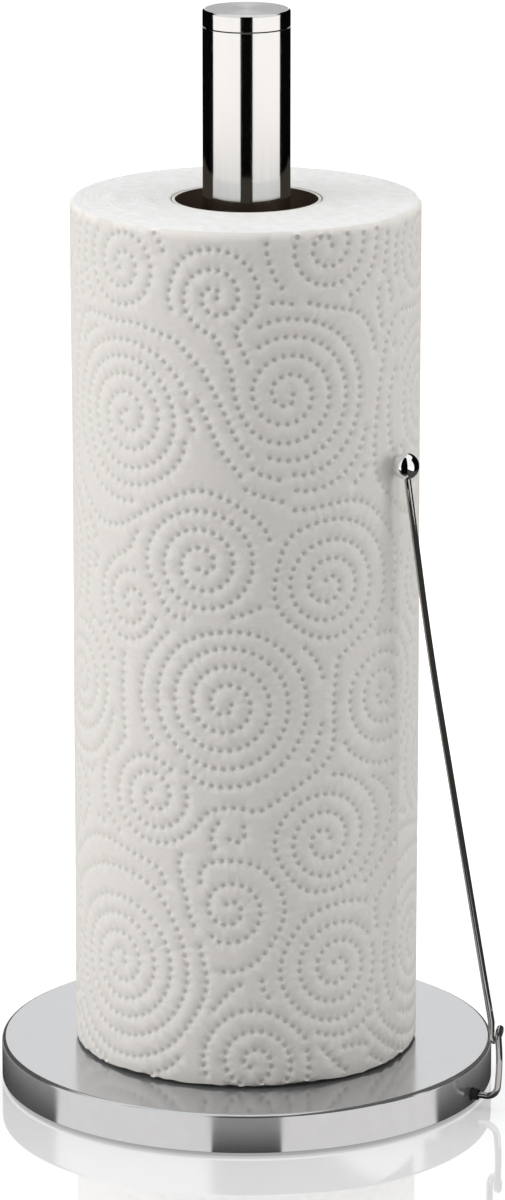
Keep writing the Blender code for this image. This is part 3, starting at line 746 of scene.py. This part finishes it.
# the sheet laid out flat: distance from the free edge, height, and how deep the point is pressed
flat_points = []
pressed = []
dimples = []
for row in rows:
    if len(row) * TRACE_STEP < 2 * DOT_PITCH:
        continue
    for across, up in row[::round(DOT_PITCH / TRACE_STEP)]:
        for repeat in range(3):
            along = (FREE_EDGE - across - repeat * REPEAT) % AROUND
            if EDGE_MARGIN < along < AROUND - EDGE_MARGIN:
                dimples.append((along, up))
near_dimples = {}
for index, (along, up) in enumerate(dimples):
    near_dimples.setdefault((int(along // 3), int(up // 3)), []).append((along, up))
    twist = index * 0.7
    for count, reach, depth in ((7, 1.0, 0.0), (5, 0.5, 0.72), (1, 0.0, 1.0)):
        for corner in range(count):
            angle = twist + math.tau * corner / count
            flat_points.append((
                along + DOT_REACH * reach * math.cos(angle),
                up + DOT_REACH * reach * math.sin(angle),
            ))
            pressed.append(depth * DOT_DEPTH)
ACROSS_STEPS = 128
UP_STEPS = 100
for i in range(ACROSS_STEPS + 1):
    for j in range(UP_STEPS + 1):
        along = AROUND * i / ACROSS_STEPS
        up = ROLL_L * j / UP_STEPS
        on_edge = i in (0, ACROSS_STEPS) or j in (0, UP_STEPS)
        beside = [
            spot for a in (-1, 0, 1) for b in (-1, 0, 1)
            for spot in near_dimples.get((int(along // 3) + a, int(up // 3) + b), ())
        ]
        if on_edge or all(math.hypot(along - a, up - b) > DOT_REACH * 1.7 for a, b in beside):
            flat_points.append((along, up))
            pressed.append(0.0)
laid = delaunay_2d_cdt([Vector(point) for point in flat_points], [], [], 0, 1e-6, True)
flat_points = [tuple(point) for point in laid[0]]
pressed = [pressed[sources[0]] for sources in laid[3]]


def lift(along, up):
    """How far the free edge stands off the roll, away from the ball that presses it."""
    share = min(max((up - LIFT_FOOT) / (LIFT_HEAD - LIFT_FOOT), 0), 1)
    return LIFT * max(0.0, math.sin(math.pi * share)) * math.exp(-along / LIFT_REACH)


def roll_surface(along, up, depth):
    """Wraps a point of the flat sheet round the roll, in metres, with soft waves and torn ends."""
    soft = 0.12 * math.sin(along / 17 + up / 41) + 0.10 * math.sin(up / 23 - along / 29 + 1.3)
    soft *= math.sin(math.pi * along / AROUND) ** 0.5 if 0 < along < AROUND else 0.0
    brim = min(up, ROLL_L - up)
    rounding = FOOT_ROUNDING if up < ROLL_L / 2 else HEAD_ROUNDING
    rounding *= max(0.0, 1 - brim / BRIM) ** 2
    radius = ROLL_R - SHEET_STEP * along / AROUND + lift(along, up) + soft - depth - rounding
    azimuth = (FREE_EDGE - along) / ROLL_R
    ragged = 0.0                # the cut edges waver, more at the foot than at the head
    if up == 0.0:
        ragged = 0.75 + 0.25 * math.sin(along * 1.7) * math.sin(along * 0.61 + 2)
        ragged += 0.15 * math.sin(along * 0.23) + 0.1 * math.sin(along * 3.1 + 1)
    if up == ROLL_L:
        ragged = 0.22 * math.sin(along * 0.57) * math.sin(along * 0.23 + 1)
        ragged += 0.14 * math.sin(along * 1.9) - 0.35
    return Vector((
        radius * math.sin(azimuth), -radius * math.cos(azimuth), roll_low.z * 1000 + up + ragged,
    )) / 1000


shape = bmesh.new()             # the sheet's outer side first, then its step and the two ends
corners = [
    shape.verts.new(roll_surface(*point, depth)) for point, depth in zip(flat_points, pressed)
]
for triangle in laid[2]:
    shape.faces.new([corners[corner] for corner in triangle])
placed = {point: corner for point, corner in zip(flat_points, corners)}
edge_of = {}
for (along, up), corner in placed.items():
    for name, value, key in (
        ("start", along, up), ("end", along - AROUND, up),
        ("foot", up, along), ("head", up - ROLL_L, along),
    ):
        if abs(value) < 1e-3:
            edge_of.setdefault(name, []).append((key, corner))
edge_of = {name: [corner for key, corner in sorted(found, key=lambda pair: pair[0])]
           for name, found in edge_of.items()}
for index in range(len(edge_of["start"]) - 1):
    shape.faces.new((
        edge_of["start"][index], edge_of["start"][index + 1],
        edge_of["end"][index + 1], edge_of["end"][index],
    ))
# the two ends, ring by ring from the sheet to the bore: ridges of wound paper on the head, and at
# the foot the outer turns a little higher than the rest
inner_rings = []
for name, ring_count in (("head", 44), ("foot", 10)):
    outer = edge_of[name]
    rim = outer[:-1]
    previous = None
    for ring in range(1, ring_count + 1):
        share = ring / ring_count
        current = []
        for index, corner in enumerate(rim):
            radius = corner.co.xy.length * (1 - share) + ROLL_BORE / 1000 * share
            angle = math.tau * index / len(rim)
            ridge = 0.09 * (ring % 2) + 0.1 * math.sin(ring * 2.4)
            ridge += 0.08 * math.sin(2 * angle + ring * 0.5)
            if name == "foot":
                ridge = 1.1 if ring <= 4 else 0.0
            elif ring == ring_count:
                ridge = 0.0
            point = corner.co.xy.normalized() * radius
            level = (roll_high if name == "head" else roll_low).z + ridge / 1000
            current.append(shape.verts.new((point.x, point.y, level)))
        if previous is None:
            for index in range(len(rim) - 1):
                after = index + 1
                shape.faces.new((outer[index], outer[after], current[after], current[index]))
            shape.faces.new((outer[-2], outer[-1], current[0], current[-1]))
            shape.faces.new((outer[-1], outer[0], current[0]))
        else:
            for index in range(len(rim)):
                after = (index + 1) % len(rim)
                shape.faces.new((previous[index], previous[after], current[after], current[index]))
        previous = current
    inner_rings.append(previous)
head_ring, foot_ring = inner_rings
for index in range(ACROSS_STEPS):
    after = (index + 1) % ACROSS_STEPS
    shape.faces.new((head_ring[index], head_ring[after], foot_ring[after], foot_ring[index]))
bmesh.ops.recalc_face_normals(shape, faces=shape.faces)
roll_mesh = bpy.data.meshes.new("towel_roll")
shape.to_mesh(roll_mesh)
shape.free()
towel_roll = bpy.data.objects.new("towel_roll", roll_mesh)
bpy.context.scene.collection.objects.link(towel_roll)
tissue = finish(
    "tissue", dark=(0.785, 0.757, 0.718), pale=(0.865, 0.838, 0.797),
    smoothest=0.9, roughest=1.0, metallic=0.0, grain=0.0011, relief=0.00006,
)
settle(towel_roll, "towel_roll", tissue, angle=60)
cut_edges = finish(
    "cut_edges", dark=(0.74, 0.745, 0.735), pale=(0.93, 0.935, 0.925),
    smoothest=0.9, roughest=1.0, metallic=0.0, grain=0.0028, relief=0.00045,
)
towel_roll.data.materials.append(cut_edges)
for face in towel_roll.data.polygons:
    if abs(face.normal.z) > 0.7:
        face.material_index = 1
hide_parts("paper_roll")
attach(towel_roll, "roll")


# ---- camera ----------------------------------------------------------------------------------
# A long lens well back in front of the holder and a little above it. From there the uprights stay
# nearly parallel and the roll's top shows as a narrow ellipse.

CAMERA_PLACE = (0.00175, -1.8003, 0.62761)
CAMERA_TILT = math.radians(75.151)
LENS = 185.6
bpy.ops.object.camera_add(location=CAMERA_PLACE, rotation=(CAMERA_TILT, 0, 0))
camera = bpy.context.object
camera.data.lens = LENS
camera.data.clip_end = 50
bpy.context.scene.camera = camera


# ---- table -----------------------------------------------------------------------------------
# A white acrylic table, which carries the shadow and a faint image of the base. For the eye its
# glow is weaker near the base, a painted shade round it. For mirrors only it glows a painted
# reflection: a bright field on each side of it, dark ones in front and behind, and painted shadow
# at the base's foot.

TABLE_DROP = 0.0001             # keeps it clear of the pad's underside
bpy.ops.mesh.primitive_circle_add(
    vertices=64, radius=12, fill_type="NGON", location=(0, 0, -TABLE_DROP),
)
table_top = bpy.context.object
table_top.name = "table_top"
acrylic = bpy.data.materials.new("acrylic")
acrylic.use_nodes = True
nodes = acrylic.node_tree.nodes
links = acrylic.node_tree.links
nodes.clear()


def node(kind, **settings):
    """A shader node with these settings."""
    made = nodes.new("ShaderNode" + kind)
    for key, value in settings.items():
        setattr(made, key, value)
    return made


def maths(operation, first, second=None, third=None):
    """A maths node fed by numbers or by other nodes' outputs."""
    made = node("Math", operation=operation)
    for socket, value in zip(made.inputs, (first, second, third)):
        if value is None:
            continue
        if isinstance(value, (int, float)):
            socket.default_value = value
        else:
            links.new(value, socket)
    return made.outputs[0]


def ramp(value, low, high, at_low, at_high):
    """Goes smoothly from one level to another between two values."""
    made = node("MapRange")
    made.interpolation_type = "SMOOTHSTEP"
    made.inputs["From Min"].default_value = low
    made.inputs["From Max"].default_value = high
    made.inputs["To Min"].default_value = at_low
    made.inputs["To Max"].default_value = at_high
    links.new(value, made.inputs["Value"])
    return made.outputs["Result"]


place = node("TexCoord")
split = node("SeparateXYZ")
links.new(place.outputs["Object"], split.inputs["Vector"])
aside = maths("ABSOLUTE", split.outputs["X"])
depth = split.outputs["Y"]
squares = maths("ADD", maths("MULTIPLY", aside, aside), maths("MULTIPLY", depth, depth))
distance = maths("SQRT", squares)
FRONT = 16                      # degrees round from the front where a bright field begins
BACK = 99                       # and where it ends


def past(degrees):
    """How far a point of the table is past a line drawn from the pole at this angle."""
    turn = math.radians(degrees)
    along_x = maths("MULTIPLY", aside, math.cos(turn))
    along_y = maths("MULTIPLY", depth, math.sin(turn))
    return maths("ADD", along_x, along_y)


past_front = past(FRONT)
past_back = past(BACK)
in_white = maths(
    "MULTIPLY", ramp(past_front, -0.0110, -0.0100, 0.0, 1.0),
    ramp(past_back, -0.0580, -0.0560, 1.0, 0.0),
)
# bright fields of the painted reflection: a painted shadow right at the base's foot, brighter
# further out
white_level = maths(
    "ADD", ramp(distance, 0.0750, 0.0775, 0.2, 0.98), ramp(distance, 0.08, 0.6, 0.1, 0.41),
)
# painted reflection of a dimmer ring far out
pole_foot_fade = maths(         # a dimmer ring far out, which the pole's foot shows
    "MAXIMUM", ramp(distance, 1.15, 1.3, 1.0, 0.0), ramp(distance, 1.40, 1.64, 0.64, 1.0),
)
white_level = maths("MULTIPLY", white_level, pole_foot_fade)
# dark fields of the painted reflection: a painted shadow at the base's foot, grey a little further
# out, black far away
dark_level = maths(
    "MULTIPLY", ramp(distance, 0.0755, 0.108, 0.02, 0.36), ramp(distance, 0.11, 0.5, 1.0, 0.0),
)
painted_reflection_level = maths(
    "ADD", maths("MULTIPLY", in_white, white_level),
    maths("MULTIPLY", maths("SUBTRACT", 1.0, in_white), dark_level),
)
path = node("LightPath")
again = maths("GREATER_THAN", path.outputs["Glossy Depth"], 1.5)   # seen through a second mirror
painted_reflection_level = maths(
    "ADD", maths("MULTIPLY", maths("SUBTRACT", 1.0, again), painted_reflection_level),
    maths("MULTIPLY", again, 0.9),
)
# the painted reflection glows for mirrors only
painted_reflection_glow = node("Emission")
painted_reflection_glow.inputs["Color"].default_value = (0.985, 0.955, 0.94, 1)
links.new(painted_reflection_level, painted_reflection_glow.inputs["Strength"])
matt = node("BsdfDiffuse")
matt.inputs["Color"].default_value = (0.6, 0.6, 0.6, 1)
# for the eye the table glows, more weakly near the base: a painted shade round it that deepens the
# real shadow
glow = node("Emission")
links.new(ramp(distance, 0.08, 0.4, 0.60, 0.90), glow.inputs["Strength"])
lit = node("AddShader")
links.new(matt.outputs["BSDF"], lit.inputs[0])
links.new(glow.outputs["Emission"], lit.inputs[1])
gloss = node("BsdfGlossy")
gloss.inputs["Roughness"].default_value = 0.03
sheen = node("MixShader")
near_front = maths(
    "MULTIPLY", ramp(distance, 0.14, 0.19, 0.42, 0.0), ramp(depth, -0.02, 0.02, 1.0, 0.0),
)
links.new(near_front, sheen.inputs["Fac"])
links.new(lit.outputs["Shader"], sheen.inputs[1])
links.new(gloss.outputs["BSDF"], sheen.inputs[2])
camera_side = node("MixShader")
links.new(path.outputs["Is Camera Ray"], camera_side.inputs["Fac"])
links.new(matt.outputs["BSDF"], camera_side.inputs[1])
links.new(sheen.outputs["Shader"], camera_side.inputs[2])
metal_side = node("MixShader")
links.new(path.outputs["Is Glossy Ray"], metal_side.inputs["Fac"])
links.new(camera_side.outputs["Shader"], metal_side.inputs[1])
links.new(painted_reflection_glow.outputs["Emission"], metal_side.inputs[2])
out = node("OutputMaterial")
links.new(metal_side.outputs["Shader"], out.inputs["Surface"])
table_top.data.materials.append(acrylic)


# ---- black and grey cards --------------------------------------------------------------------
# Tall black cards stand in a ring before and behind the holder and give the polished metal dark
# bands between the white ones. Small dark-grey cards by the wire, a strip round the ball and brown
# cards over the roll's brims do the same close by. Only the metal sees any of them: they are
# painted reflections, the grey and brown ones glow faintly, and none of them blocks light or casts
# a shadow.

CARD_RING = 1.5
CARD_HEIGHT = 1.6
BEHIND = 172                    # degrees round from the front, past which the ring is open again
bpy.ops.mesh.primitive_cylinder_add(
    vertices=360, radius=CARD_RING, depth=CARD_HEIGHT, end_fill_type="NOTHING",
    location=(0, 0, CARD_HEIGHT / 2 + 0.001),
)
cards = bpy.context.object
cards.name = "black_cards"
bpy.ops.object.transform_apply()
edit(cards)


def in_light(middle, face):
    """True where the ring is left open."""
    turn = abs(math.degrees(math.atan2(middle.x, -middle.y)))
    return FRONT < turn < BACK or turn > BEHIND


choose("FACE", in_light)
bpy.ops.mesh.delete(type="FACE")
close()
black_card = bpy.data.materials.new("black_card")
black_card.use_nodes = True
shader = black_card.node_tree.nodes["Principled BSDF"]
shader.inputs["Base Color"].default_value = (0.004, 0.004, 0.004, 1)
shader.inputs["Roughness"].default_value = 1.0
shader.inputs["Specular IOR Level"].default_value = 0.0
cards.data.materials.append(black_card)


def only_for_metal(card):
    """Hides a card from everything but mirrors."""
    for kind in ("camera", "diffuse", "shadow", "transmission", "volume_scatter"):
        setattr(card, "visible_" + kind, False)


def flat_card(name, corners, material):
    """A small card near the metal, by its corners."""
    bpy.ops.mesh.primitive_circle_add(vertices=len(corners), fill_type="NGON")
    card = bpy.context.object
    for vertex, corner in zip(card.data.vertices, corners):
        vertex.co = corner
    card.name = name
    card.data.materials.append(material)
    only_for_metal(card)


only_for_metal(cards)
# the grey cards glow faintly for mirrors only: a painted dark-grey reflection
painted_grey_reflection = black_card.copy()   # clear from behind, so that the table's image doesn't show it
painted_grey_reflection.name = "painted_grey_reflection"
nodes = painted_grey_reflection.node_tree.nodes
links = painted_grey_reflection.node_tree.links
shader = nodes["Principled BSDF"]
shader.inputs["Emission Color"].default_value = (0.062, 0.060, 0.055, 1)
shader.inputs["Emission Strength"].default_value = 1.0
seen_through = node("MixShader")
links.new(node("NewGeometry").outputs["Backfacing"], seen_through.inputs["Fac"])
links.new(shader.outputs["BSDF"], seen_through.inputs[1])
links.new(node("BsdfTransparent").outputs["BSDF"], seen_through.inputs[2])
links.new(seen_through.outputs["Shader"], nodes["Material Output"].inputs["Surface"])
black_one_sided = painted_grey_reflection.copy()
black_one_sided.name = "black_one_sided_card"
black_one_sided.node_tree.nodes["Principled BSDF"].inputs["Emission Strength"].default_value = 0.0
CARD_SLANT = 0.06               # so that the table's image sees only their outer sides
CARD_MIDDLE = -0.034            # where along a side card its distance is measured
SIDE_REACH = 0.087              # from the pole to the cards beside the wire's upright part
LOW_REACH = 0.085               # and to the one beside the coil
LOW_FOOT = 0.0135               # heights of the cards' lower and upper edges
SIDE_FOOT = 0.03
FRONT_TOP = 0.180
SIDE_TOP = 0.177
HIGH_TOP = 0.248


def beside_wire(y, x=SIDE_REACH):
    """A corner on the slanting line that runs past the wire's leg."""
    return (x + CARD_SLANT * (y - CARD_MIDDLE), y)


for name, near, far, bottom, top, card in (
    ("low_side_card", beside_wire(0.12, LOW_REACH), beside_wire(-0.052, LOW_REACH),
     LOW_FOOT, SIDE_FOOT, painted_grey_reflection),
    ("side_card", beside_wire(0.20), beside_wire(-0.35), SIDE_FOOT, SIDE_TOP, painted_grey_reflection),
    ("high_side_card", beside_wire(0.20), beside_wire(-0.0455),
     SIDE_TOP, HIGH_TOP, black_one_sided),
    ("front_side_card", (0.065, -0.060), (-0.060, -0.075), SIDE_FOOT, FRONT_TOP, painted_grey_reflection),
    ("low_front_card", (0.072, -0.058), (0.045, -0.066), LOW_FOOT, SIDE_FOOT, painted_grey_reflection),
):
    flat_card(name, [(*near, bottom), (*far, bottom), (*far, top), (*near, top)], card)

BALL_CARD_REACH = 0.012
bpy.ops.mesh.primitive_uv_sphere_add(segments=60, ring_count=30, radius=BALL_CARD_REACH)
ball_card = bpy.context.object  # a strip hung round the ball, from under it to over it
ball_card.name = "ball_card"
bpy.ops.transform.translate(value=ball_centre)
bpy.ops.object.transform_apply()
edit(ball_card)


def beside_strip(middle, face):
    """True for what is cut away to leave the strip."""
    away = middle - ball_centre
    turn = math.degrees(math.atan2(away.x, -away.y))
    rise = math.degrees(math.asin(away.z / away.length))
    return not (-36 < turn < 12 and -48 < rise < 80)


choose("FACE", beside_strip)
bpy.ops.mesh.delete(type="FACE")
close()
ball_card.data.materials.append(black_card)
only_for_metal(ball_card)

# the brim cards glow faintly brown just over the roll's ends: a painted reflection that stands in
# for the paper there
painted_brown_reflection = bpy.data.materials.new("painted_brown_reflection")
painted_brown_reflection.use_nodes = True
shader = painted_brown_reflection.node_tree.nodes["Principled BSDF"]
shader.inputs["Base Color"].default_value = (0.0, 0.0, 0.0, 1)
shader.inputs["Specular IOR Level"].default_value = 0.0
shader.inputs["Emission Color"].default_value = (0.05, 0.042, 0.034, 1)
shader.inputs["Emission Strength"].default_value = 1.0
BRIM_GAP = 0.0012
over_roll = roll_high.z + BRIM_GAP
for name, corners in (
    ("front_brim_card", ((-0.0018, -0.0129), (0.0018, -0.0129),
                         (0.0128, -0.0515), (-0.0128, -0.0515))),
    ("back_brim_card", ((-0.0494, -0.0022), (-0.0099, -0.0084), (0.0099, -0.0084),
                        (0.0494, -0.0022), (0.0494, 0.05), (-0.0494, 0.05))),
):
    flat_card(name, [(*corner, over_roll) for corner in corners], painted_brown_reflection)


# ---- light -----------------------------------------------------------------------------------
# An even white room, a large soft lamp that rakes the paper from the left, one overhead and a
# weaker one at the right.

world = bpy.data.worlds.new("white_room")
bpy.context.scene.world = world
world.use_nodes = True
nodes = world.node_tree.nodes
links = world.node_tree.links
background = nodes["Background"]
path = node("LightPath")
seen = maths("MAXIMUM", path.outputs["Is Camera Ray"], path.outputs["Is Glossy Ray"])
seen = maths("MAXIMUM", seen, path.outputs["Is Transmission Ray"])
ROOM_LIGHT = 0.30               # what matt surfaces get; mirrors and the eye see the room white
links.new(maths("MULTIPLY_ADD", seen, 1.0 - ROOM_LIGHT, ROOM_LIGHT), background.inputs["Strength"])
background.inputs["Color"].default_value = (1, 1, 1, 1)
AIM = Vector((0, 0, 0.15))
# each lamp: degrees round from the front, degrees up, distance, size and level
for name, azimuth, height, distance_out, size, level in (
    ("left_softbox", -75, 12, 1.6, 1.1, 0.55),
    ("overhead_softbox", 0, 88, 1.5, 1.4, 0.70),
    ("right_softbox", 85, 10, 1.6, 0.9, 0.33),
):
    around = math.radians(azimuth)
    rise = math.radians(height)
    toward = Vector((
        math.sin(around) * math.cos(rise), -math.cos(around) * math.cos(rise), math.sin(rise),
    ))
    bpy.ops.object.light_add(
        type="AREA", location=AIM + toward * distance_out,
        rotation=toward.to_track_quat("Z", "Y").to_euler(),
    )
    lamp = bpy.context.object
    lamp.name = name
    lamp.data.size = size
    lamp.visible_glossy = False
    lamp.data.energy = level * math.pi ** 2 * distance_out ** 2
bpy.context.scene.view_settings.view_transform = "Standard"
